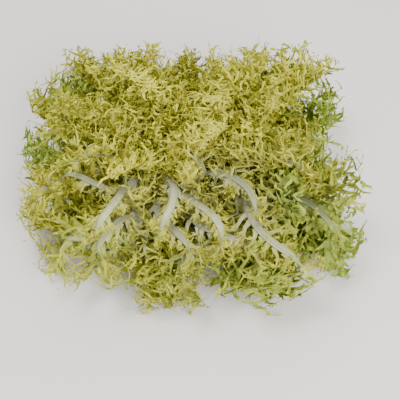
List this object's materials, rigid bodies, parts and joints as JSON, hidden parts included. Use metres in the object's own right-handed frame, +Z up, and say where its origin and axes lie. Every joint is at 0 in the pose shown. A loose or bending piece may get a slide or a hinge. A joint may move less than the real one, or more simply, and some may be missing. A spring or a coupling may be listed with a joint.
{
  "type": "curly endive head",
  "caption": "Loose head of fine curly endive: pointed, deeply cut leaves spiral up from one stump and arch out into a broad low cushion.",
  "frame": {"origin": "centre of the cut face under the stump, on the surface the head rests on", "axes": "+Z up through the heart, +X across the head's longest side, -Y the head's front, where the leaves arch furthest down"},
  "size_m": [0.2801, 0.225, 0.1022],
  "materials": {
    "stump": "matte",
    "outer_leaf": "satin",
    "middle_leaf": "satin",
    "inner_leaf": "satin",
    "heart_leaf": "satin"
  },
  "bodies": {
    "root": {"stump": "stump", "outer_leaf_01": "outer_leaf", "outer_leaf_02": "outer_leaf", "outer_leaf_03": "outer_leaf", "outer_leaf_04": "outer_leaf", "outer_leaf_05": "outer_leaf", "outer_leaf_06": "outer_leaf", "outer_leaf_07": "outer_leaf", "outer_leaf_08": "outer_leaf", "outer_leaf_09": "outer_leaf", "outer_leaf_10": "outer_leaf", "outer_leaf_11": "outer_leaf", "outer_leaf_12": "outer_leaf", "outer_leaf_13": "outer_leaf", "middle_leaf_01": "middle_leaf", "middle_leaf_02": "middle_leaf", "middle_leaf_03": "middle_leaf", "middle_leaf_04": "middle_leaf", "middle_leaf_05": "middle_leaf", "middle_leaf_06": "middle_leaf", "middle_leaf_07": "middle_leaf", "middle_leaf_08": "middle_leaf", "middle_leaf_09": "middle_leaf", "middle_leaf_10": "middle_leaf", "middle_leaf_11": "middle_leaf", "middle_leaf_12": "middle_leaf", "middle_leaf_13": "middle_leaf", "middle_leaf_14": "middle_leaf", "middle_leaf_15": "middle_leaf", "middle_leaf_16": "middle_leaf", "inner_leaf_01": "inner_leaf", "inner_leaf_02": "inner_leaf", "inner_leaf_03": "inner_leaf", "inner_leaf_04": "inner_leaf", "inner_leaf_05": "inner_leaf", "inner_leaf_06": "inner_leaf", "inner_leaf_07": "inner_leaf", "inner_leaf_08": "inner_leaf", "inner_leaf_09": "inner_leaf", "inner_leaf_10": "inner_leaf", "inner_leaf_11": "inner_leaf", "inner_leaf_12": "inner_leaf", "inner_leaf_13": "inner_leaf", "inner_leaf_14": "inner_leaf", "inner_leaf_15": "inner_leaf", "heart_leaf_01": "heart_leaf", "heart_leaf_02": "heart_leaf", "heart_leaf_03": "heart_leaf", "heart_leaf_04": "heart_leaf", "heart_leaf_05": "heart_leaf", "heart_leaf_06": "heart_leaf", "heart_leaf_07": "heart_leaf", "heart_leaf_08": "heart_leaf"}
  },
  "joints": []
}
